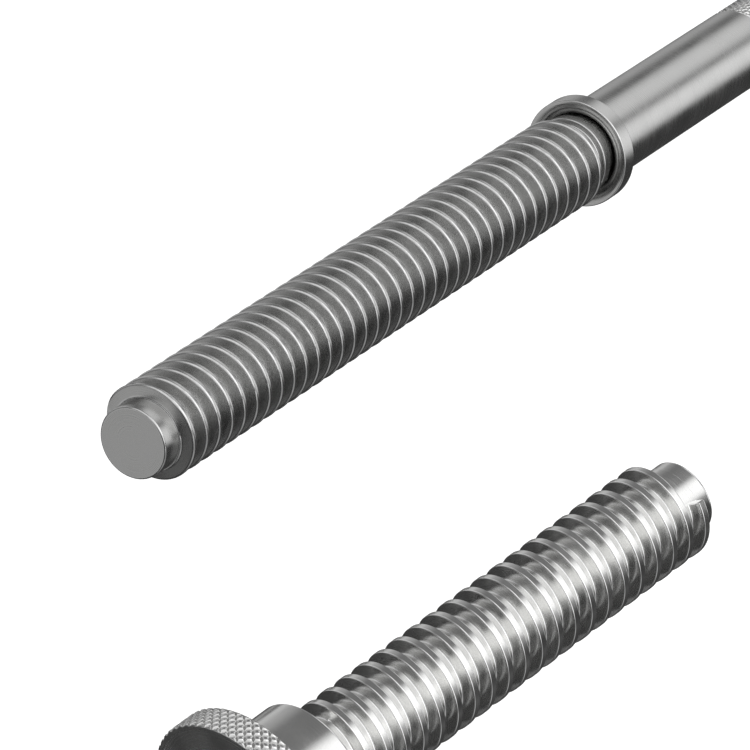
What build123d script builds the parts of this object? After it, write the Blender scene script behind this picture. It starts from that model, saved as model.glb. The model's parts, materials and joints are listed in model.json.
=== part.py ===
from build123d import *
import math
import os

# Two-spindle screw assembly, in millimetres, +Z up.
# The long screw lies along X. The origin is on its axis, in the plane of the face that the flange of
# its bearing sleeve seats with. +X points from that face to the long screw's hand grip.
# The short screw lies beside it at -Y, with its knob towards -X. It is turned a little away from the
# long screw and its free end is raised, so its pieces are made about X and then put in their place.

# ---- driving dimensions ---------------------------------------------------------------------
SHORT_PLACE = (-212.12, -70.38, -17.31)   # centre of the short screw's hub, at its face beside the thread
SHORT_YAW_DEG = -13.06       # turned about Z, away from the long screw
SHORT_RISE_DEG = 11.77       # free end above the knob end

# long screw: right-hand trapezoidal thread 18 x 4
LONG_MAJOR_R = 9.0
LONG_LEAD = 4.0
LONG_DEPTH = 2.25
LONG_CREST = 1.0
LONG_FLANK_DEG = 15.0
LONG_TIP_X = -155.5          # end face of the long pilot
LONG_PILOT_R = 6.6
LONG_PILOT_LENGTH = 4.3
LONG_PILOT_CHAMFER = 0.3
LONG_CONE = 0.4              # cone at the start of the long thread
LONG_PHASE_DEG = 102.0       # where the long thread's rib starts round its axis
RIB_SUNK = 0.1               # how far a thread rib reaches into the core that it is joined to
RIB_END_MARGIN = 0.25        # between a rib's end and the end of the threaded core
CUTTER_CLEARANCE = 1.0       # how far a cutter reaches past the surface that it cuts

# short screw: left-hand thread with steep flanks; stations are counted from the hub face
SHORT_MAJOR_R = 9.0
SHORT_LEAD = 4.0
SHORT_DEPTH = 2.4
SHORT_CREST = 1.25
SHORT_FLANK_DEG = 5.0
SHORT_TIP_X = 88.7
SHORT_PILOT_R = 6.5
SHORT_PILOT_LENGTH = 2.8
SHORT_PILOT_CHAMFER = 0.4
SHORT_PHASE_DEG = 164.0      # where the short thread's rib starts round its axis

# flanged bearing sleeve of the long screw
FLANGE_R = 10.55
FLANGE_THICK = 3.5
FLANGE_CHAMFER = 0.3
DISH_R = 9.9                 # the hollowed front of the flange starts at this radius
DISH_FLOOR = 1 / 3           # the part of the flange's thickness left where the dish meets the collar
DISH_MID = (0.45, 1.45)      # mid-point of the dish's arc: ahead of its floor, and inside DISH_R
RECESS_R = 7.35              # clears the screw's collar
SLEEVE_R = 7.95
SLEEVE_LENGTH = 60.0
SLEEVE_CHAMFER = 0.4
SLEEVE_BORE_R = 6.0
SLEEVE_LIP = 0.5             # thickness of the lip in front of the seal
SLEEVE_LIP_R = 5.6
LIP_GAP = 0.2                # between the collar's end and the lip

# journals of the long screw
SHOULDER_R = 7.9             # shoulder that the long thread runs out to
SHOULDER_START_X = -6.4
SHOULDER_END_X = -4.2
COLLAR_R = 7.2
COLLAR_END_X = 0.3
SEAL_SEAT_R = 4.8
JOURNAL_R = 4.0
GRIP_SEAT_R = 3.5
SEAT_SHORT = 0.2             # a seat ends this far inside the pocket floor, so the end washer clamps

# ball bearings 8 x 12 x 3.5 on the long screw
BEARING_WIDTH = 3.5
BALL_R = 0.6
BALL_PITCH_R = 5.0
BALL_COUNT = 12
RACE_LAND = 0.5              # inner ring 4.0 to 4.5, outer ring 5.5 to 6.0
RACE_GAP = 0.03              # between a ball and its raceway
CAGE_INNER_R = 4.7
CAGE_OUTER_R = 5.3
CAGE_HALF_WIDTH = 1.2
SEAL_WIDTH = 2.0
SPACER_LENGTH = 45.0
FRONT_BEARING_X = 3.0        # the face of the front bearing that is nearer to the flange
CIRCLIP_THICK = 1.0
CIRCLIP_GROOVE_R = 6.5
CIRCLIP_INNER_R = 5.3
CIRCLIP_GAP_DEG = 40.0
LOCK_WASHER_THICK = 0.6
LOCK_NUT_R = 5.0
LOCK_NUT_LENGTH = 3.0
LOCK_NUT_SLOT_WIDTH = 1.4
LOCK_NUT_SLOT_HEIGHT = 1.0

# hand grip of the long screw
GRIP_R = 7.95                # no wider than the sleeve, so a bored block can slide over both
GRIP_X = 60.6
GRIP_LENGTH = 30.0
GRIP_POCKET_R = 5.5
GRIP_POCKET_DEPTH = 5.0
GRIP_CHAMFER = 0.6
GRIP_SCREW_OFFSET = 6.0      # set screws from the grip's inner end

# bearing hub and plain bushes of the short screw
HUB_R = 12.0
HUB_LENGTH = 11.1
HUB_CHAMFER = 0.5
BUSH_OUTER_R = 5.5
BUSH_FLANGE_R = 6.9
BUSH_FLANGE_THICK = 1.0
BUSH_LENGTH = 5.2
THRUST_WASHER_R = 6.7
THRUST_WASHER_THICK = 0.6
RUNNING_GAP = 0.03           # radial clearance of a journal in its bush

# knob of the short screw
KNOB_R = 18.15
KNOB_WIDTH = 5.4
KNOB_RECESS_R = 17.05        # shallow recess of the front face, inside its rim
KNOB_RECESS_DEPTH = 0.6
KNOB_POCKET_R = 5.6          # pocket for the end screw
KNOB_POCKET_DEPTH = 3.2
KNOB_CHAMFER = 0.4
KEY_WIDTH = 2.0              # square key between the knob and its seat

# M3 screws
M3_R = 1.5
M3_HEAD_R = 2.75
M3_HEAD_HEIGHT = 1.8
M3_HEAD_CHAMFER = 0.3
M3_SHANK = 9.0
M3_SOCKET_R = 1.15
M3_SOCKET_DEPTH = 1.1
M3_HOLE_SPARE = 1.0          # how much deeper a tapped hole is than its screw's shank
END_WASHER_R = 5.0
END_WASHER_THICK = 0.8
SET_SCREW_TOP_GAP = 0.8      # how far a set screw lies below the knurled surface
SET_SCREW_ANGLES = (150.0, 240.0)
SET_SCREW_SOCKET_R = 0.85
SET_SCREW_SOCKET_DEPTH = 1.6


# ---- helpers --------------------------------------------------------------------------------
def turned(*points):
    """A solid turned about the X axis from its half section, given as (station, radius) points."""
    section = make_face(Polyline(*points, close=True))
    return revolve(section, Axis.X)


def ring(x_start, x_end, inner_r, outer_r):
    """A plain ring or, with no inner radius, a disc."""
    return turned((x_start, inner_r), (x_start, outer_r), (x_end, outer_r), (x_end, inner_r))


def round_bar_tip(x_face, radius, x_back, edge):
    """A shaft end with a small chamfer at its face; the face looks away from x_back."""
    into = math.copysign(edge, x_back - x_face)
    return turned((x_face, 0), (x_face, radius - edge), (x_face + into, radius), (x_back, radius), (x_back, 0))


def threaded_bar(x_first, x_last, major_r, depth, lead, crest, flank_deg, left_handed, phase_deg):
    """A plain core with a helical rib. The rib's middle runs from x_first to x_last and starts at
    phase_deg round the X axis; the core sticks out by one lead at each end."""
    root_r = major_r - depth
    height = depth + RIB_SUNK
    half_crest = crest / 2
    half_root = half_crest + height * math.tan(math.radians(flank_deg))
    path = Helix(lead, x_last - x_first, root_r - RIB_SUNK, lefthand=left_handed)
    section = Plane(origin=path @ 0, x_dir=(1, 0, 0), z_dir=(0, -1, 0)) * make_face(
        Polyline((0, -half_root), (height, -half_crest), (height, half_crest), (0, half_root), close=True)
    )
    rib = sweep(section, path=path, is_frenet=True)
    core = Cylinder(root_r, x_last - x_first + 2 * lead, align=(Align.CENTER, Align.CENTER, Align.MIN))
    bar = core.moved(Location((0, 0, -lead))) + rib
    return bar.rotate(Axis.Z, phase_deg).rotate(Axis.Y, 90).moved(Location((x_first, 0, 0)))


def socket_screw(x_seat, direction, shank_length, head_r, head_height):
    """A low-head socket screw along X. Its head's underside is at x_seat; direction points to the head."""
    shank = Cylinder(M3_R, shank_length, align=(Align.CENTER, Align.CENTER, Align.MAX))
    head = Cylinder(head_r, head_height, align=(Align.CENTER, Align.CENTER, Align.MIN))
    head = chamfer(head.edges().filter_by(GeomType.CIRCLE).sort_by(Axis.Z)[-1], M3_HEAD_CHAMFER)
    socket = extrude(RegularPolygon(M3_SOCKET_R, 6), M3_SOCKET_DEPTH)
    screw = shank + head - socket.moved(Location((0, 0, head_height - M3_SOCKET_DEPTH)))
    return screw.rotate(Axis.Y, 90 * direction).moved(Location((x_seat, 0, 0)))


def radial_pins(x_station, radius, inner_r, outer_r, socket_depth=0.0):
    """Pins that stand on the axis at x_station, one at each set-screw angle, with hex sockets if asked."""
    pins = []
    for angle in SET_SCREW_ANGLES:
        pin = Cylinder(radius, outer_r - inner_r, align=(Align.CENTER, Align.CENTER, Align.MIN))
        if socket_depth:
            socket = extrude(RegularPolygon(SET_SCREW_SOCKET_R, 6), socket_depth)
            pin -= socket.moved(Location((0, 0, outer_r - inner_r - socket_depth)))
        pins.append(pin.moved(Location((x_station, 0, inner_r))).rotate(Axis.X, angle))
    return pins


def on_short_axis(shape):
    """Puts a piece made about the X axis, with station 0 at the hub face, onto the short screw's axis."""
    return shape.rotate(Axis.Y, -SHORT_RISE_DEG).rotate(Axis.Z, SHORT_YAW_DEG).moved(Location(SHORT_PLACE))


# ---- stations worked out from the driving dimensions ------------------------------------------
long_thread_start = LONG_TIP_X + LONG_PILOT_LENGTH
long_rib_end_gap = LONG_CREST / 2 + LONG_DEPTH * math.tan(math.radians(LONG_FLANK_DEG)) + RIB_END_MARGIN
long_rib_first = long_thread_start - LONG_CREST / 2
long_rib_last = SHOULDER_START_X - long_rib_end_gap
rear_bearing_x = FRONT_BEARING_X + BEARING_WIDTH + SPACER_LENGTH
circlip_x = rear_bearing_x + BEARING_WIDTH
lock_nut_x = circlip_x + LOCK_WASHER_THICK
grip_end_x = GRIP_X + GRIP_LENGTH
grip_floor_x = grip_end_x - GRIP_POCKET_DEPTH
grip_screw_x = GRIP_X + GRIP_SCREW_OFFSET

short_thread_start = THRUST_WASHER_THICK
short_thread_end = SHORT_TIP_X - SHORT_PILOT_LENGTH
hub_back_x = -HUB_LENGTH
knob_x = hub_back_x - THRUST_WASHER_THICK
knob_face_x = knob_x - KNOB_WIDTH
knob_floor_x = knob_face_x + KNOB_POCKET_DEPTH
knob_recess_x = knob_face_x + KNOB_RECESS_DEPTH

parts = {}


# ---- long screw ---------------------------------------------------------------------------------
def long_screw():
    bar = threaded_bar(long_rib_first, long_rib_last, LONG_MAJOR_R, LONG_DEPTH,
                       LONG_LEAD, LONG_CREST, LONG_FLANK_DEG, False, LONG_PHASE_DEG)
    clear_r = LONG_MAJOR_R + CUTTER_CLEARANCE
    cutter_x = LONG_TIP_X - 2 * LONG_LEAD
    cone_run = LONG_CONE * (clear_r - LONG_PILOT_R) / (LONG_MAJOR_R - LONG_PILOT_R)
    bar -= turned((cutter_x, 0), (cutter_x, clear_r), (long_thread_start + cone_run, clear_r),
                  (long_thread_start, LONG_PILOT_R), (long_thread_start, 0))
    bar -= ring(SHOULDER_START_X, SHOULDER_START_X + 2 * LONG_LEAD, 0, clear_r)
    bar += round_bar_tip(LONG_TIP_X, LONG_PILOT_R, long_thread_start, LONG_PILOT_CHAMFER)
    seat_end_x = grip_floor_x - SEAT_SHORT
    bar += turned(
        (SHOULDER_START_X, 0), (SHOULDER_START_X, SHOULDER_R), (SHOULDER_END_X, SHOULDER_R),
        (SHOULDER_END_X, COLLAR_R), (COLLAR_END_X, COLLAR_R), (COLLAR_END_X, SEAL_SEAT_R),
        (FRONT_BEARING_X, SEAL_SEAT_R), (FRONT_BEARING_X, JOURNAL_R), (GRIP_X, JOURNAL_R),
        (GRIP_X, GRIP_SEAT_R), (seat_end_x, GRIP_SEAT_R), (seat_end_x, 0),
    )
    return bar - ring(grip_floor_x - M3_SHANK - M3_HOLE_SPARE, grip_floor_x, 0, M3_R)


parts["long_screw"] = long_screw()


# ---- bearing sleeve and what it holds -----------------------------------------------------------
def long_sleeve():
    body = turned(
        (-FLANGE_THICK, 0), (-FLANGE_THICK, FLANGE_R - FLANGE_CHAMFER),
        (-FLANGE_THICK + FLANGE_CHAMFER, FLANGE_R), (-FLANGE_CHAMFER, FLANGE_R), (0, FLANGE_R - FLANGE_CHAMFER), (0, SLEEVE_R),
        (SLEEVE_LENGTH - SLEEVE_CHAMFER, SLEEVE_R), (SLEEVE_LENGTH, SLEEVE_R - SLEEVE_CHAMFER),
        (SLEEVE_LENGTH, 0),
    )
    floor_x = -FLANGE_THICK * DISH_FLOOR
    dish_edge = (-FLANGE_THICK, DISH_R)
    dish_root = (floor_x, RECESS_R)
    dish_mid = (floor_x - DISH_MID[0], DISH_R - DISH_MID[1])
    dish = revolve(make_face(
        Line((-FLANGE_THICK, 0), dish_edge) + ThreePointArc(dish_edge, dish_mid, dish_root)
        + Line(dish_root, (floor_x, 0)) + Line((floor_x, 0), (-FLANGE_THICK, 0))
    ), Axis.X)
    lip_x = COLLAR_END_X + LIP_GAP
    recess = ring(-FLANGE_THICK, lip_x, 0, RECESS_R)
    lip_hole = ring(0, lip_x + SLEEVE_LIP + CUTTER_CLEARANCE, 0, SLEEVE_LIP_R)
    bore = ring(lip_x + SLEEVE_LIP, SLEEVE_LENGTH + CUTTER_CLEARANCE, 0, SLEEVE_BORE_R)
    groove = ring(circlip_x, circlip_x + CIRCLIP_THICK, 0, CIRCLIP_GROOVE_R)
    return body - dish - recess - lip_hole - bore - groove


parts["bearing_sleeve"] = long_sleeve()
parts["sleeve_seal"] = ring(FRONT_BEARING_X - SEAL_WIDTH, FRONT_BEARING_X, SEAL_SEAT_R + RUNNING_GAP, SLEEVE_BORE_R)


def ball_bearing(name, x_start):
    """The rings, cage and balls of one bearing, as nodes of their own."""
    x_mid = x_start + BEARING_WIDTH / 2
    race_section = Pos(x_mid, BALL_PITCH_R) * Circle(BALL_R + RACE_GAP)
    race = revolve(race_section, Axis.X)
    x_end = x_start + BEARING_WIDTH
    parts[name + "_inner_ring"] = ring(x_start, x_end, JOURNAL_R, JOURNAL_R + RACE_LAND) - race
    parts[name + "_outer_ring"] = ring(x_start, x_end, SLEEVE_BORE_R - RACE_LAND, SLEEVE_BORE_R) - race
    cage = ring(x_mid - CAGE_HALF_WIDTH, x_mid + CAGE_HALF_WIDTH, CAGE_INNER_R, CAGE_OUTER_R)
    balls = []
    for i in range(BALL_COUNT):
        place = Location((x_mid, 0, 0), (360 * i / BALL_COUNT, 0, 0)) * Location((0, BALL_PITCH_R, 0))
        balls.append(place * Sphere(BALL_R))
        cage -= place * Sphere(BALL_R + RACE_GAP)
    parts[name + "_cage"] = cage
    parts[name + "_balls"] = Compound(children=balls)


ball_bearing("front_bearing", FRONT_BEARING_X)
ball_bearing("rear_bearing", rear_bearing_x)
spacer_x = FRONT_BEARING_X + BEARING_WIDTH
parts["inner_spacer"] = ring(spacer_x, rear_bearing_x, JOURNAL_R, JOURNAL_R + RACE_LAND)
parts["outer_spacer"] = ring(spacer_x, rear_bearing_x, SLEEVE_BORE_R - RACE_LAND, SLEEVE_BORE_R)

circlip_gap_width = 2 * CIRCLIP_GROOVE_R * math.sin(math.radians(CIRCLIP_GAP_DEG / 2))
circlip_gap = Box(4 * CIRCLIP_THICK, circlip_gap_width, 2 * CIRCLIP_GROOVE_R)
parts["sleeve_circlip"] = ring(circlip_x, circlip_x + CIRCLIP_THICK, CIRCLIP_INNER_R, CIRCLIP_GROOVE_R) - (
    Pos(circlip_x, 0, -CIRCLIP_GROOVE_R) * circlip_gap
)

parts["lock_washer"] = ring(circlip_x, lock_nut_x, JOURNAL_R, LOCK_NUT_R)


def lock_nut():
    nut = ring(lock_nut_x, lock_nut_x + LOCK_NUT_LENGTH, JOURNAL_R, LOCK_NUT_R)
    for angle in range(0, 360, 90):
        slot = Pos(lock_nut_x + LOCK_NUT_LENGTH / 2, 0, LOCK_NUT_R) * Box(
            LOCK_NUT_LENGTH, LOCK_NUT_SLOT_WIDTH, LOCK_NUT_SLOT_HEIGHT)
        nut -= slot.rotate(Axis.X, angle)
    return nut


parts["lock_nut"] = lock_nut()


# ---- hand grip of the long screw ------------------------------------------------------------------
def long_grip():
    grip = turned(
        (GRIP_X, GRIP_SEAT_R), (GRIP_X, GRIP_R - GRIP_CHAMFER), (GRIP_X + GRIP_CHAMFER, GRIP_R),
        (grip_end_x - GRIP_CHAMFER, GRIP_R), (grip_end_x, GRIP_R - GRIP_CHAMFER),
        (grip_end_x, GRIP_POCKET_R), (grip_floor_x, GRIP_POCKET_R), (grip_floor_x, GRIP_SEAT_R),
    )
    for hole in radial_pins(grip_screw_x, M3_R, JOURNAL_R / 2, GRIP_R + CUTTER_CLEARANCE):
        grip -= hole
    return grip


parts["hand_grip"] = long_grip()
parts["grip_set_screws"] = Compound(
    children=radial_pins(grip_screw_x, M3_R, GRIP_SEAT_R, GRIP_R - SET_SCREW_TOP_GAP, SET_SCREW_SOCKET_DEPTH)
)
grip_screw_seat = grip_floor_x + END_WASHER_THICK
parts["grip_end_washer"] = ring(grip_floor_x, grip_screw_seat, M3_R, END_WASHER_R)
parts["grip_end_screw"] = socket_screw(grip_screw_seat, 1, M3_SHANK, M3_HEAD_R, M3_HEAD_HEIGHT)


# ---- short screw ------------------------------------------------------------------------------------
def short_screw():
    end_gap = SHORT_CREST / 2 + SHORT_DEPTH * math.tan(math.radians(SHORT_FLANK_DEG)) + RIB_END_MARGIN
    bar = threaded_bar(short_thread_start + end_gap, short_thread_end - end_gap, SHORT_MAJOR_R, SHORT_DEPTH,
                       SHORT_LEAD, SHORT_CREST, SHORT_FLANK_DEG, True, SHORT_PHASE_DEG)
    clear_r = SHORT_MAJOR_R + CUTTER_CLEARANCE
    bar -= ring(short_thread_start - 2 * SHORT_LEAD, short_thread_start, 0, clear_r)
    bar -= ring(short_thread_end, short_thread_end + 2 * SHORT_LEAD, 0, clear_r)
    bar += round_bar_tip(SHORT_TIP_X, SHORT_PILOT_R, short_thread_end, SHORT_PILOT_CHAMFER)
    seat_end_x = knob_floor_x + SEAT_SHORT
    bar += turned(
        (short_thread_start, 0), (short_thread_start, JOURNAL_R), (knob_x, JOURNAL_R),
        (knob_x, GRIP_SEAT_R), (seat_end_x, GRIP_SEAT_R), (seat_end_x, 0),
    )
    return bar - ring(knob_floor_x, knob_floor_x + M3_SHANK + M3_HOLE_SPARE, 0, M3_R) - key()


def bush(x_flange, direction):
    """A flanged plain bush. Its flange face is at x_flange and its barrel runs in the given direction."""
    x_step = x_flange + direction * BUSH_FLANGE_THICK
    x_end = x_flange + direction * BUSH_LENGTH
    bore_r = JOURNAL_R + RUNNING_GAP
    return turned((x_flange, bore_r), (x_flange, BUSH_FLANGE_R), (x_step, BUSH_FLANGE_R),
                  (x_step, BUSH_OUTER_R), (x_end, BUSH_OUTER_R), (x_end, bore_r))


def hub():
    front_step = -BUSH_FLANGE_THICK
    back_step = hub_back_x + BUSH_FLANGE_THICK
    return turned(
        (0, BUSH_FLANGE_R), (0, HUB_R - HUB_CHAMFER), (-HUB_CHAMFER, HUB_R),
        (hub_back_x + HUB_CHAMFER, HUB_R), (hub_back_x, HUB_R - HUB_CHAMFER), (hub_back_x, BUSH_FLANGE_R), (back_step, BUSH_FLANGE_R),
        (back_step, BUSH_OUTER_R), (front_step, BUSH_OUTER_R), (front_step, BUSH_FLANGE_R),
    )


def key():
    """The square key, half in the knob's seat and half in the knob."""
    length = knob_x - knob_floor_x
    return Pos(knob_floor_x + length / 2, 0, GRIP_SEAT_R) * Box(length, KEY_WIDTH, KEY_WIDTH)


def knob():
    wheel = turned(
        (knob_x, GRIP_SEAT_R), (knob_x, KNOB_R - KNOB_CHAMFER), (knob_x - KNOB_CHAMFER, KNOB_R),
        (knob_face_x + KNOB_CHAMFER, KNOB_R), (knob_face_x, KNOB_R - KNOB_CHAMFER),
        (knob_face_x, KNOB_RECESS_R), (knob_recess_x, KNOB_RECESS_R), (knob_recess_x, KNOB_POCKET_R),
        (knob_floor_x, KNOB_POCKET_R), (knob_floor_x, GRIP_SEAT_R),
    )
    return wheel - key()


short_parts = {
    "short_screw": short_screw(),
    "bearing_hub": hub(),
    "front_bush": bush(0, -1),
    "rear_bush": bush(hub_back_x, 1),
    "front_thrust_washer": ring(0, short_thread_start, JOURNAL_R, THRUST_WASHER_R),
    "rear_thrust_washer": ring(knob_x, hub_back_x, JOURNAL_R, THRUST_WASHER_R),
    "knob": knob(),
    "knob_key": key(),
    "knob_end_washer": ring(knob_floor_x - END_WASHER_THICK, knob_floor_x, M3_R, END_WASHER_R),
    "knob_end_screw": socket_screw(knob_floor_x - END_WASHER_THICK, -1, M3_SHANK, M3_HEAD_R, M3_HEAD_HEIGHT),
}
for name, shape in short_parts.items():
    parts[name] = on_short_axis(shape)


# ---- write one STEP for each piece --------------------------------------------------------------------
os.makedirs("parts", exist_ok=True)
for name, shape in parts.items():
    export_step(shape, f"parts/{name}.step")
    print(f"{name:22s} solids {len(shape.solids()):2d}  volume {shape.volume:10.2f} mm3  valid {shape.is_valid}")
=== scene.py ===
import json
import math
import bmesh
import bpy
from mathutils import Matrix, Vector


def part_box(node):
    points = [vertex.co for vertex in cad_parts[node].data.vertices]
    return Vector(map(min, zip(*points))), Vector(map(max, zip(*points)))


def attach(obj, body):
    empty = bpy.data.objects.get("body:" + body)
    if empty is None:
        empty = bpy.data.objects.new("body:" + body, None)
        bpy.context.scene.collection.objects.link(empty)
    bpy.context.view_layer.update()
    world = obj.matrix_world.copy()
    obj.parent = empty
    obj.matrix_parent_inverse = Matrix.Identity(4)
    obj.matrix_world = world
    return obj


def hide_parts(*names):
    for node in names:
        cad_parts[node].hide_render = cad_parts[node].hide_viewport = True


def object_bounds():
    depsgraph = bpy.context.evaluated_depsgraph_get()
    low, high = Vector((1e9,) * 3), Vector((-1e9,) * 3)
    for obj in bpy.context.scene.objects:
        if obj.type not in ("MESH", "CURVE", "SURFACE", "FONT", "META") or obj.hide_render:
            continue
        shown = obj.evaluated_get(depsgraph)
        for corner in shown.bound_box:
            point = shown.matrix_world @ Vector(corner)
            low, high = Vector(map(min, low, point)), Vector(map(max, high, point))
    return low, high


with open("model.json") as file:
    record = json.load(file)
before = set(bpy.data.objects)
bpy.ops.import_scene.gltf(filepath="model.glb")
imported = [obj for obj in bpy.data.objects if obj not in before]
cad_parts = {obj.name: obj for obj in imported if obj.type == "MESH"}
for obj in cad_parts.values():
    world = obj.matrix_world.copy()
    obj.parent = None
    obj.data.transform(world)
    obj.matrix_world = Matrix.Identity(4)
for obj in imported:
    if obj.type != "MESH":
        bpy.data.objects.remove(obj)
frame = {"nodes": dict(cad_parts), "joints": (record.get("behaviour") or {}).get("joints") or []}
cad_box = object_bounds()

MM = 0.001
scene = bpy.context.scene
scene.view_settings.view_transform = "Standard"
joints = {j["name"]: j for j in frame["joints"]}

# The short screw's own frame: X along its axis, origin in the hub face beside the thread.
short_axis = Vector(joints["short_spin"]["axis"]).normalized()
short_yaw = math.atan2(short_axis.y, short_axis.x)
short_rise = math.asin(short_axis.z)
SHORT = (Matrix.Translation(joints["short_spin"]["pos_m"])
         @ Matrix.Rotation(short_yaw, 4, "Z") @ Matrix.Rotation(-short_rise, 4, "Y"))
LONG = Matrix.Identity(4)

# Sizes in millimetres. Stations on the short screw are counted from its hub's face beside the thread.
MAJOR_R = 9.0                # both threads
LEAD = 4.0
RIB_END_MARGIN = 0.25        # between a rib's end and the end of its thread
RIB_SUNK = 0.25              # how far a rib's foot reaches into the core
M3_R = 1.5
END_HOLE_DEPTH = 10.0        # tapped hole for an end screw
JOURNAL_R = 4.0
SEAT_R = 3.5                 # seat of the grip and of the knob
SEAT_SHORT = 0.2             # between a seat's end and the pocket floor

# long screw
LONG_ROOT_R = 6.75
LONG_PILOT_R = 6.6
LONG_PILOT = 4.3             # length of the pilot
LONG_CREST = 1.0
LONG_FLANK = 15.0
LONG_RIB_START = -40.0       # degrees from +Y towards +Z, where the rib rises out of the thread's cone
LONG_RIB_LEAD_IN = 52.0      # degrees from there to where the CAD's rib starts
LONG_CONE_SLOPE = 0.12       # of the cone at the start of the thread, along over out
SHOULDER = (-6.4, -4.2, 7.9)  # start, end, radius
COLLAR_R = 7.2
COLLAR_END = 0.3
SEAL_SEAT_R = 4.8
FRONT_BEARING = 3.0

# bearing sleeve and hand grip
FLANGE_R = 10.55
FLANGE = 3.5                 # thickness
DISH_R = 9.9
RECESS_R = 7.35
SLEEVE_R = 7.95
BORE_R = 6.0
LIP = (0.5, 1.0, 5.6)        # start, end, radius of its hole
CIRCLIP = (55.0, 56.0, 6.5)  # start, end, groove radius
GRIP_R = 7.95
GRIP_CHAMFER = 0.55
GRIP_POCKET_R = 5.5
GRIP_POCKET = 5.0            # depth
GRIP_SCREW_OFFSET = 6.0
GRIP_SCREW_ANGLES = (150.0, 240.0)

# short screw
SHORT_ROOT_R = 6.6
SHORT_PILOT = 2.8
SHORT_PILOT_R = 6.5
SHORT_TIP = 88.7
SHORT_CREST = 1.25
SHORT_FLANK = 5.0
SHORT_RIB_START = 74.0
WASHER = 0.6                 # thrust washers

# hub and knob
HUB_R = 12.0
HUB = 11.1                   # length
BUSH_R = 5.5
BUSH_FLANGE = 1.0
BUSH_FLANGE_R = 6.9
KNOB_R = 18.15
KNOB = 5.4                   # width
KNOB_CHAMFER = 0.35
KNOB_RECESS_R = 17.05
KNOB_RECESS = 0.6
KNOB_POCKET_R = 5.6
KNOB_POCKET = 3.2
KNOB_DIAMONDS = 62           # round the knob's rim
KNURL_PITCH = 2 * math.pi * KNOB_R / KNOB_DIAMONDS

grip_x, grip_end = (corner.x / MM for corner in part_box("hand_grip"))
grip_floor = grip_end - GRIP_POCKET
sleeve_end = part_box("bearing_sleeve")[1].x / MM
knob_back = -HUB - WASHER
knob_face = knob_back - KNOB
knob_pocket = knob_face + KNOB_POCKET
knob_recess = knob_face + KNOB_RECESS


# ---- meshes -------------------------------------------------------------------------------
def rounded(corners, steps=4):
    """A half section with rounded corners, from (station, radius, rounding) in millimetres.
    Returns (station, radius, wear) points; wear is 1 on a rounding."""
    out = []
    count = len(corners)
    for i, (x, r, size) in enumerate(corners):
        here = Vector((x, r))
        before = Vector(corners[i - 1][:2]) - here
        after = Vector(corners[(i + 1) % count][:2]) - here
        if not size or before.length < 1e-6 or after.length < 1e-6:
            out.append((x, r, 0.0))
            continue
        a, b = before.normalized(), after.normalized()
        half = a.angle(b) / 2
        reach = min(size / math.tan(half), 0.48 * before.length, 0.48 * after.length)
        radius = reach * math.tan(half)
        centre = here + (a + b).normalized() * (radius / math.sin(half))
        hold = 0.35 * reach
        first, last = here + a * reach, here + b * reach
        if before.length > 2.6 * reach:
            out.append((*(first + a * hold), 0.0))
        for k in range(steps + 1):
            t = k / steps
            spoke = (first - centre).lerp(last - centre, t)
            out.append((*(centre + spoke.normalized() * radius), 1.0))
        if after.length > 2.6 * reach:
            out.append((*(last + b * hold), 0.0))
    return out


def finish_mesh(name, verts, faces, wear, place, sharp_deg=38.0):
    """One object from points in millimetres in the frame that place gives."""
    mesh = bpy.data.meshes.new(name)
    mesh.from_pydata([place @ (Vector(v) * MM) for v in verts], [], faces)
    layer = mesh.attributes.new("wear", "FLOAT", "POINT")
    layer.data.foreach_set("value", wear)
    bm = bmesh.new()
    bm.from_mesh(mesh)
    bmesh.ops.remove_doubles(bm, verts=bm.verts, dist=2e-6)
    bmesh.ops.dissolve_degenerate(bm, edges=bm.edges, dist=1e-7)
    bmesh.ops.recalc_face_normals(bm, faces=bm.faces)
    bm.to_mesh(mesh)
    bm.free()
    mesh.shade_smooth()
    mesh.set_sharp_from_angle(angle=math.radians(sharp_deg))
    obj = bpy.data.objects.new(name, mesh)
    scene.collection.objects.link(obj)
    return obj


def spin(points, segments, verts, faces, wear, closed=True):
    """Turns (station, radius, wear) points about X and adds them to a mesh under construction."""
    first = len(verts)
    for k in range(segments):
        a = 2 * math.pi * k / segments
        for x, r, w in points:
            verts.append((x, r * math.cos(a), r * math.sin(a)))
            wear.append(w)
    n = len(points)
    for k in range(segments):
        for i in range(n if closed else n - 1):
            j = (i + 1) % n
            faces.append((first + k * n + i, first + k * n + j,
                          first + (k + 1) % segments * n + j, first + (k + 1) % segments * n + i))


def lathe(name, sections, place, segments):
    """A turned piece from one or more closed half sections."""
    verts, faces, wear = [], [], []
    for corners in sections:
        spin(rounded(corners), segments, verts, faces, wear)
    return finish_mesh(name, verts, faces, wear, place)


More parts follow.
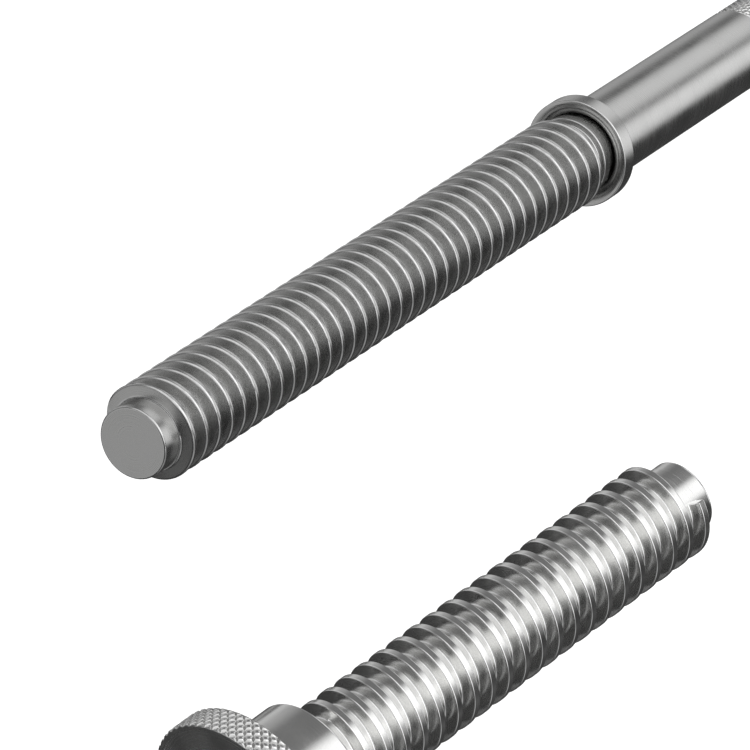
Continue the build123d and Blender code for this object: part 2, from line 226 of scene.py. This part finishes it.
def rib(verts, faces, wear, first_mid, last_mid, root_r, major_r, lead, crest, flank_deg,
        left_handed, start_deg, clip_x=None, clip_slope=0.0, per_turn=84, edge=0.13, foot=0.16):
    """A helical rib with rounded crest edges and a fillet at its foot. Its middle runs from first_mid to
    last_mid and starts at start_deg, counted from +Y towards +Z. clip_x cuts it along a cone there."""
    slope = math.tan(math.radians(flank_deg))
    half_crest = crest / 2
    half_root = half_crest + (major_r - root_r) * slope
    side = rounded([(half_crest - 3, major_r, 0), (half_crest, major_r, edge),
                    (half_root, root_r, foot), (half_root + 3, root_r, 0)], 3)[1:-1]
    skirt_x = side[-1][0]
    right = side + [(skirt_x, root_r - RIB_SUNK, 0.0)]
    section = [(-x, r, w) for x, r, w in reversed(right)] + [(0.0, major_r, 0.0)] + right
    turns = (last_mid - first_mid) / lead
    count = int(turns * per_turn)
    sign = -1 if left_handed else 1
    rings = []
    cap = [(0.16, 0.17), (0.1, 0.07), (0.02, 0.02), (0.0, 0.0)]
    arc = major_r * math.radians(360 / per_turn)
    spots = [(0.0 + (0.17 - back) / arc, inset) for inset, back in cap]
    spots += [(float(k), 0.0) for k in range(2, count - 1)]
    spots += [(count - (0.17 - back) / arc, inset) for inset, back in reversed(cap)]
    for spot, inset in spots:
        t = spot / count
        middle = first_mid + (last_mid - first_mid) * t
        angle = math.radians(start_deg) + sign * 2 * math.pi * turns * t
        shrink = (half_crest - inset) / half_crest
        first = len(verts)
        top = major_r
        if clip_x is not None:
            flank_over = middle + half_crest + (major_r - root_r) * slope - clip_x
            top = min(top, root_r + flank_over / (slope + clip_slope))
        for s, r, w in section:
            level = min(r - inset if r > major_r - 2 * edge else r, max(top, root_r - RIB_SUNK))
            x = middle + s * shrink
            if clip_x is not None:
                over = max(0.0, level - (major_r - edge))
                lip = edge - math.sqrt(max(0.0, edge * edge - over * over))
                x = max(x, clip_x + clip_slope * max(0.0, level - root_r) + lip)
            verts.append((x, level * math.cos(angle), level * math.sin(angle)))
            wear.append(max(w, 1.0 if inset else 0.0))
        rings.append(first)
    n = len(section)
    for a, b in zip(rings, rings[1:]):
        for i in range(n):
            j = (i + 1) % n
            faces.append((a + i, a + j, b + j, b + i))
    faces.append(tuple(rings[0] + i for i in range(n)))
    faces.append(tuple(rings[-1] + i for i in reversed(range(n))))


def knurl(radius, x_start, x_end, around, along, depth, chamfer, verts, faces, wear, cuts=4, flat=0.5):
    """Diamond knurling between two stations. Returns its first and last rows of vertex numbers."""
    columns, rows = 2 * around * cuts, 2 * along * cuts
    grid = []
    for i in range(rows + 1):
        x = x_start + (x_end - x_start) * i / rows
        reach = radius - max(0.0, chamfer - (x - x_start), chamfer - (x_end - x))
        row = []
        for k in range(columns):
            m, n = k / cuts, i / cuts
            p, q = (m + n) / 2, (m - n) / 2
            height = min(flat, 1 - 2 * max(abs(p - round(p)), abs(q - round(q)))) / flat
            r = min(radius - depth * (1 - height), reach)
            a = 2 * math.pi * k / columns
            row.append(len(verts))
            verts.append((x, r * math.cos(a), r * math.sin(a)))
            wear.append(max(0.0, height) ** 3)
        grid.append(row)
    for i in range(rows):
        for k in range(columns):
            k2 = (k + 1) % columns
            a, b, c, d = grid[i][k], grid[i][k2], grid[i + 1][k2], grid[i + 1][k]
            if (k // cuts + i // cuts) % 2 == 0:
                faces += [(a, b, d), (b, c, d)]
            else:
                faces += [(a, b, c), (a, c, d)]
    return grid[0], grid[-1]


def knurled_part(name, radius, x_start, x_end, around, along, depth, chamfer, inside, place, cuts=4):
    """A knurled body: the knurling, and the rest of its half section from the end row back to the first."""
    verts, faces, wear = [], [], []
    first_row, last_row = knurl(radius, x_start, x_end, around, along, depth, chamfer,
                                verts, faces, wear, cuts)
    columns = len(first_row)
    points = rounded(inside)[1:-1]
    rings = [last_row]
    for x, r, w in points:
        ring = []
        for k in range(columns):
            a = 2 * math.pi * k / columns
            ring.append(len(verts))
            verts.append((x, r * math.cos(a), r * math.sin(a)))
            wear.append(w)
        rings.append(ring)
    rings.append(first_row)
    for a, b in zip(rings, rings[1:]):
        for k in range(columns):
            k2 = (k + 1) % columns
            faces.append((a[k], a[k2], b[k2], b[k]))
    return finish_mesh(name, verts, faces, wear, place, sharp_deg=60.0)


# ---- materials ----------------------------------------------------------------------------
def node(tree, kind, inputs=None, **settings):
    n = tree.nodes.new(kind)
    for key, value in settings.items():
        setattr(n, key, value)
    for key, value in (inputs or {}).items():
        if isinstance(value, bpy.types.NodeSocket):
            tree.links.new(value, n.inputs[key])
        else:
            n.inputs[key].default_value = value
    return n


def math_node(tree, operation, a, b=0.0):
    return node(tree, "ShaderNodeMath", {0: a, 1: b}, operation=operation).outputs[0]


def spread(tree, value, low, high, from_low=0.0, from_high=1.0):
    return node(tree, "ShaderNodeMapRange", {"Value": value, "From Min": from_low, "From Max": from_high,
                                             "To Min": low, "To Max": high}).outputs[0]


def machined(name, tone, rough, place=LONG, lines=9000.0, line_depth=0.5, grain=0.2, smudge=0.05,
             tint=(1.0, 1.0, 0.99), metallic=1.0, worn_tone=None, contrast=0.05):
    """Turned metal: fine rings round the piece's own axis, a grain, soft smudges and worn edges."""
    material = bpy.data.materials.new(name)
    material.use_nodes = True
    tree = material.node_tree
    shader = tree.nodes["Principled BSDF"]
    shader.inputs["Metallic"].default_value = metallic
    where = node(tree, "ShaderNodeTexCoord").outputs["Object"]
    if place is not LONG:
        back = place.inverted()
        turn = back.to_euler()
        where = node(tree, "ShaderNodeMapping", {"Vector": where, "Location": back.translation,
                                                 "Rotation": turn}, vector_type="POINT").outputs[0]
    parts = node(tree, "ShaderNodeSeparateXYZ", {"Vector": where}).outputs
    flat = node(tree, "ShaderNodeCombineXYZ", {"Y": parts["Y"], "Z": parts["Z"]}).outputs[0]
    radius = node(tree, "ShaderNodeVectorMath", {0: flat}, operation="LENGTH").outputs["Value"]
    track = node(tree, "ShaderNodeCombineXYZ", {"X": parts["X"], "Y": radius}).outputs[0]
    rings = node(tree, "ShaderNodeTexNoise", {"Vector": track, "Scale": lines, "Detail": 3.0,
                                              "Roughness": 0.65}).outputs["Fac"]
    grains = node(tree, "ShaderNodeTexNoise", {"Vector": where, "Scale": 7000.0,
                                               "Detail": 2.0}).outputs["Fac"]
    clouds = node(tree, "ShaderNodeTexNoise", {"Vector": where, "Scale": 140.0, "Detail": 4.0}).outputs["Fac"]
    nicks = node(tree, "ShaderNodeTexNoise", {"Vector": where, "Scale": 900.0, "Detail": 3.0}).outputs["Fac"]
    edge = node(tree, "ShaderNodeAttribute", attribute_name="wear").outputs["Fac"]
    worn = math_node(tree, "MULTIPLY", edge, spread(tree, nicks, 0.35, 1.0, 0.35, 0.6))

    shade = spread(tree, clouds, 1 - contrast, 1 + contrast, 0.3, 0.7)
    shade = math_node(tree, "MULTIPLY", shade, spread(tree, rings, 1 - contrast, 1 + contrast, 0.3, 0.7))
    shade = math_node(tree, "MULTIPLY", shade, spread(tree, grains, 1 - grain / 4, 1 + grain / 4, 0.3, 0.7))
    plain = node(tree, "ShaderNodeVectorMath", {0: tuple(tone * c for c in tint), "Scale": shade},
                 operation="SCALE").outputs["Vector"]
    bright = worn_tone if worn_tone else min(1.0, tone * 1.25)
    colour = node(tree, "ShaderNodeMix", {0: worn, 6: plain, 7: (bright, bright, bright, 1)},
                  data_type="RGBA")
    tree.links.new(colour.outputs[2], shader.inputs["Base Color"])

    gloss = math_node(tree, "ADD", spread(tree, clouds, rough - smudge, rough + smudge, 0.3, 0.7),
                      spread(tree, rings, -0.05, 0.05, 0.3, 0.7))
    gloss = math_node(tree, "SUBTRACT", gloss, math_node(tree, "MULTIPLY", worn, 0.06))
    tree.links.new(gloss, shader.inputs["Roughness"])

    height = math_node(tree, "ADD", math_node(tree, "MULTIPLY", rings, line_depth),
                       math_node(tree, "MULTIPLY", grains, grain))
    bump = node(tree, "ShaderNodeBump", {"Strength": 0.35, "Distance": 0.00002, "Height": height}).outputs[0]
    tree.links.new(bump, shader.inputs["Normal"])
    return material


def paint(obj, material):
    obj.data.materials.clear()
    obj.data.materials.append(material)


def add_piece(obj, material, body, replaced):
    paint(obj, material)
    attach(obj, body)
    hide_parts(replaced)


# ---- long screw -----------------------------------------------------------------------------
def rib_end_gap(crest, root_r, flank_deg):
    """From the middle of a rib's last section to the end of its thread."""
    return crest / 2 + (MAJOR_R - root_r) * math.tan(math.radians(flank_deg)) + RIB_END_MARGIN


def long_screw():
    verts, faces, wear = [], [], []
    box_low, box_high = (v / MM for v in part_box("long_screw"))
    tip, shaft_end = box_low.x, box_high.x
    thread = tip + LONG_PILOT
    step, collar, shoulder_r = SHOULDER
    body = [
        (tip, 0, 0), (tip, LONG_PILOT_R, 0.34), (thread, LONG_PILOT_R, 0.1), (thread, LONG_ROOT_R, 0),
        (thread + 0.2, LONG_ROOT_R, 0), (step, LONG_ROOT_R, 0.2), (step, shoulder_r, 0.25),
        (collar, shoulder_r, 0.3), (collar, COLLAR_R, 0.3), (COLLAR_END, COLLAR_R, 0.1),
        (COLLAR_END, SEAL_SEAT_R, 0), (FRONT_BEARING, SEAL_SEAT_R, 0), (FRONT_BEARING, JOURNAL_R, 0),
        (grip_x, JOURNAL_R, 0), (grip_x, SEAT_R, 0), (shaft_end, SEAT_R, 0), (shaft_end, M3_R, 0),
        (shaft_end - END_HOLE_DEPTH, M3_R, 0), (shaft_end - END_HOLE_DEPTH, 0, 0),
    ]
    spin(rounded(body), 120, verts, faces, wear, closed=False)
    end_gap = rib_end_gap(LONG_CREST, LONG_ROOT_R, LONG_FLANK)
    lead_in = LEAD * LONG_RIB_LEAD_IN / 360
    rib(verts, faces, wear, thread - LONG_CREST / 2 - lead_in, step - end_gap, LONG_ROOT_R, MAJOR_R, LEAD,
        LONG_CREST, LONG_FLANK, False, LONG_RIB_START, clip_x=thread, clip_slope=LONG_CONE_SLOPE,
        edge=0.42, foot=0.3)
    return finish_mesh("long_screw_turned", verts, faces, wear, LONG)


def short_screw():
    verts, faces, wear = [], [], []
    thread, thread_end = WASHER, SHORT_TIP - SHORT_PILOT
    seat_end = knob_pocket + SEAT_SHORT
    hole_end = knob_pocket + END_HOLE_DEPTH
    body = [
        (SHORT_TIP, 0, 0), (SHORT_TIP, SHORT_PILOT_R, 0.45), (thread_end, SHORT_PILOT_R, 0),
        (thread_end, SHORT_ROOT_R, 0.05), (thread, SHORT_ROOT_R, 0.1), (thread, JOURNAL_R, 0),
        (knob_back, JOURNAL_R, 0), (knob_back, SEAT_R, 0), (seat_end, SEAT_R, 0), (seat_end, M3_R, 0),
        (hole_end, M3_R, 0), (hole_end, 0, 0),
    ]
    spin(rounded(body), 120, verts, faces, wear, closed=False)
    gap = rib_end_gap(SHORT_CREST, SHORT_ROOT_R, SHORT_FLANK)
    rib(verts, faces, wear, thread + gap, thread_end - gap, SHORT_ROOT_R, MAJOR_R, LEAD, SHORT_CREST,
        SHORT_FLANK, True, SHORT_RIB_START, foot=0.25, edge=0.16)
    return finish_mesh("short_screw_turned", verts, faces, wear, SHORT)


def drill(obj, angles, station, radius):
    """Holes through obj, square to the long axis, at these angles from +Z about it."""
    for angle in angles:
        bm = bmesh.new()
        bmesh.ops.create_cone(bm, cap_ends=True, segments=32, radius1=radius * MM, radius2=radius * MM,
                              depth=2 * GRIP_R * MM)
        shift = Matrix.Translation((station * MM, 0, 0)) @ Matrix.Rotation(math.radians(angle), 4, "X")
        bmesh.ops.transform(bm, matrix=shift @ Matrix.Translation((0, 0, 1.2 * GRIP_R * MM)), verts=bm.verts)
        mesh = bpy.data.meshes.new("drill")
        bm.to_mesh(mesh)
        bm.free()
        tool = bpy.data.objects.new("drill", mesh)
        scene.collection.objects.link(tool)
        cut = obj.modifiers.new("hole", "BOOLEAN")
        cut.object = tool
        cut.solver = "MANIFOLD"
        solid = bpy.data.meshes.new_from_object(obj.evaluated_get(bpy.context.evaluated_depsgraph_get()))
        obj.modifiers.clear()
        obj.data = solid
        bpy.data.objects.remove(tool)


satin = machined("satin_steel", 0.55, 0.26, contrast=0.03, grain=0.12)
sleeve_finish = machined("ground_steel", 0.62, 0.26, lines=7000, contrast=0.03, grain=0.15)
polished = machined("polished_steel", 0.85, 0.18, place=SHORT, lines=6000, contrast=0.04)
knob_finish = machined("knob_steel", 0.7, 0.24, place=SHORT, grain=0.3, contrast=0.05)
grip_finish = machined("grip_steel", 0.7, 0.24, grain=0.3, contrast=0.05)

add_piece(long_screw(), satin, "long_spindle", "long_screw")
add_piece(short_screw(), polished, "short_spindle", "short_screw")

# ---- bearing sleeve --------------------------------------------------------------------------
dish_floor = -FLANGE / 3
dish_arc = [(-FLANGE + (FLANGE + dish_floor) * (1 - math.cos(t * math.pi / 2)),
             DISH_R - (DISH_R - RECESS_R) * math.sin(t * math.pi / 2), 0)
            for t in (0.9, 0.75, 0.55, 0.35, 0.15)]
lip_start, lip_end, lip_r = LIP
groove_start, groove_end, groove_r = CIRCLIP
sleeve = lathe("bearing_sleeve_turned", [[
    (-FLANGE, FLANGE_R, 0.24), (0, FLANGE_R, 0.22), (0, SLEEVE_R, 0.12), (sleeve_end, SLEEVE_R, 0.3),
    (sleeve_end, BORE_R, 0.15), (groove_end, BORE_R, 0), (groove_end, groove_r, 0),
    (groove_start, groove_r, 0), (groove_start, BORE_R, 0), (lip_end, BORE_R, 0), (lip_end, lip_r, 0),
    (lip_start, lip_r, 0), (lip_start, RECESS_R, 0), (dish_floor, RECESS_R, 0.1),
    *dish_arc, (-FLANGE, DISH_R, 0.12)]], LONG, 160)
add_piece(sleeve, sleeve_finish, "housings", "bearing_sleeve")

# ---- hub -------------------------------------------------------------------------------------
hub = lathe("bearing_hub_turned", [[
    (0, HUB_R, 0.45), (0, BUSH_FLANGE_R, 0.1), (-BUSH_FLANGE, BUSH_FLANGE_R, 0), (-BUSH_FLANGE, BUSH_R, 0),
    (BUSH_FLANGE - HUB, BUSH_R, 0), (BUSH_FLANGE - HUB, BUSH_FLANGE_R, 0), (-HUB, BUSH_FLANGE_R, 0.1),
    (-HUB, HUB_R, 0.45)]], SHORT, 160)
add_piece(hub, polished, "housings", "bearing_hub")

# ---- knob and grip ---------------------------------------------------------------------------
knob = knurled_part("knob_knurled", KNOB_R, knob_face, knob_back, KNOB_DIAMONDS, round(KNOB / KNURL_PITCH),
                    0.4, KNOB_CHAMFER, [
    (knob_back, KNOB_R - KNOB_CHAMFER, 0), (knob_back, KNOB_R - 0.6, 0.1), (knob_back, SEAT_R, 0),
    (knob_pocket, SEAT_R, 0), (knob_pocket, KNOB_POCKET_R, 0.1), (knob_recess, KNOB_POCKET_R, 0.2),
    (knob_recess, KNOB_RECESS_R, 0.2), (knob_face, KNOB_RECESS_R, 0.14), (knob_face, KNOB_R - 0.5, 0.14),
    (knob_face, KNOB_R - KNOB_CHAMFER, 0)], SHORT)
add_piece(knob, knob_finish, "short_spindle", "knob")

grip_rim_r = GRIP_R - GRIP_CHAMFER
grip_face_r = GRIP_R - 0.7
grip = knurled_part("hand_grip_knurled", GRIP_R, grip_x, grip_end, round(2 * math.pi * GRIP_R / KNURL_PITCH),
                    round((grip_end - grip_x) / KNURL_PITCH), 0.35, GRIP_CHAMFER, [
    (grip_end, grip_rim_r, 0), (grip_end, grip_face_r, 0.1), (grip_end, GRIP_POCKET_R, 0.2),
    (grip_floor, GRIP_POCKET_R, 0), (grip_floor, SEAT_R, 0), (grip_x, SEAT_R, 0), (grip_x, grip_face_r, 0.1),
    (grip_x, grip_rim_r, 0)], LONG)
drill(grip, GRIP_SCREW_ANGLES, grip_x + GRIP_SCREW_OFFSET, M3_R)
add_piece(grip, grip_finish, "long_spindle", "hand_grip")

# ---- finishes of the pieces kept as they are in the CAD ------------------------------------------
KEPT_FINISHES = {
    "seal_rubber": dict(tone=0.035, rough=0.6, metallic=0.0, worn_tone=0.05),
    "bearing_steel": dict(tone=0.72, rough=0.17, lines=5000, contrast=0.03),
    "ball_steel": dict(tone=0.8, rough=0.12, grain=0.05, contrast=0.02),
    "cage_brass": dict(tone=0.6, rough=0.32, tint=(1.0, 0.78, 0.42), contrast=0.06),
    "spring_steel": dict(tone=0.25, rough=0.34, contrast=0.06),
    "fastener_steel": dict(tone=0.16, rough=0.36, contrast=0.06),
    "bush_bronze": dict(tone=0.5, rough=0.3, tint=(1.0, 0.72, 0.42), contrast=0.06),
}
for slot, place, names in (
    ("seal_rubber", LONG, ["sleeve_seal"]),
    ("bearing_steel", LONG, ["front_bearing_inner_ring", "front_bearing_outer_ring",
                             "rear_bearing_inner_ring", "rear_bearing_outer_ring",
                             "inner_spacer", "outer_spacer"]),
    ("ball_steel", LONG, ["front_bearing_balls", "rear_bearing_balls"]),
    ("cage_brass", LONG, ["front_bearing_cage", "rear_bearing_cage"]),
    ("spring_steel", LONG, ["sleeve_circlip"]),
    ("fastener_steel", LONG, ["lock_washer", "lock_nut", "grip_set_screws", "grip_end_washer",
                              "grip_end_screw"]),
    ("fastener_steel", SHORT, ["knob_key", "knob_end_washer", "knob_end_screw"]),
    ("bearing_steel", SHORT, ["front_thrust_washer", "rear_thrust_washer"]),
    ("bush_bronze", SHORT, ["front_bush", "rear_bush"]),
):
    finish = machined(slot + ("_short" if place is SHORT else ""), place=place, **KEPT_FINISHES[slot])
    for name in names:
        paint(frame["nodes"][name], finish)

# ---- camera ------------------------------------------------------------------------------------
CAMERA_AT = Vector((-0.94649, -0.52377, 0.43464))
HEADING = math.radians(31.049)
DOWN = math.radians(24.003)
ahead = Vector((math.cos(HEADING) * math.cos(DOWN), math.sin(HEADING) * math.cos(DOWN), -math.sin(DOWN)))
camera_data = bpy.data.cameras.new("camera")
camera_data.sensor_width = 36.0
camera_data.lens = 297.6
camera_data.clip_start = 0.05
camera_data.clip_end = 60.0
camera = bpy.data.objects.new("camera", camera_data)
camera.matrix_world = Matrix.Translation(CAMERA_AT) @ ahead.to_track_quat("-Z", "Y").to_matrix().to_4x4()
scene.collection.objects.link(camera)
scene.camera = camera

# ---- floor and light ----------------------------------------------------------------------------
floor_z = cad_box[0].z - 0.0005
floor_mesh = bpy.data.meshes.new("floor")
FLOOR_HALF = 25.0
floor_mesh.from_pydata([(-FLOOR_HALF, -FLOOR_HALF, floor_z), (FLOOR_HALF, -FLOOR_HALF, floor_z),
                        (FLOOR_HALF, FLOOR_HALF, floor_z), (-FLOOR_HALF, FLOOR_HALF, floor_z)],
                       [], [(0, 1, 2, 3)])
floor = bpy.data.objects.new("floor", floor_mesh)
scene.collection.objects.link(floor)
floor_material = bpy.data.materials.new("pale_floor")
floor_material.use_nodes = True
floor_shader = floor_material.node_tree.nodes["Principled BSDF"]
floor_shader.inputs["Base Color"].default_value = (0.5, 0.5, 0.5, 1)
floor_shader.inputs["Roughness"].default_value = 1.0
floor_shader.inputs["Specular IOR Level"].default_value = 0.0
floor_shader.inputs["Emission Color"].default_value = (1, 1, 1, 1)
floor_shader.inputs["Emission Strength"].default_value = 0.85
floor_mesh.materials.append(floor_material)
floor.visible_glossy = False
floor.visible_diffuse = False

world = bpy.data.worlds.new("studio")
scene.world = world
world.use_nodes = True
sky = world.node_tree
background = sky.nodes["Background"]
toward = node(sky, "ShaderNodeTexCoord").outputs["Generated"]


def lobe(direction, inner_deg, outer_deg, strength):
    """A soft round patch of light far away in the given direction."""
    facing = node(sky, "ShaderNodeVectorMath", {0: toward, 1: Vector(direction).normalized()},
                  operation="DOT_PRODUCT").outputs["Value"]
    return node(sky, "ShaderNodeMapRange",
                {"Value": facing, "From Min": math.cos(math.radians(outer_deg)),
                 "From Max": math.cos(math.radians(inner_deg)), "To Min": 0.0, "To Max": strength},
                interpolation_type="SMOOTHSTEP").outputs[0]


height = node(sky, "ShaderNodeSeparateXYZ", {"Vector": toward}).outputs["Z"]
total = spread(sky, height, 0.05, 0.17, -0.2, 0.15)
for patch in (
    ((0.78, 0.61, 0.11), 3, 22, 0.3),
    ((0.78, -0.10, 0.61), 4, 26, 0.7),
    ((0.78, -0.62, 0.07), 5, 24, 0.95),
    ((-0.3, -0.93, 0.1), 12, 42, 1.1),
    ((0.0, -0.6, -0.8), 10, 38, 0.35),
    ((0.15, -0.74, 0.66), 10, 34, 1.05),
    ((-0.6, -0.2, 0.8), 20, 55, 0.8),
    ((-0.78, 0.55, -0.33), 8, 34, 0.45),
    ((0.2, 0.9, 0.4), 10, 40, 0.35),
):
    total = math_node(sky, "ADD", total, lobe(*patch))
colour = node(sky, "ShaderNodeCombineXYZ", {"X": total, "Y": total, "Z": total}).outputs[0]
sky.links.new(colour, background.inputs["Color"])
background.inputs["Strength"].default_value = 1.0
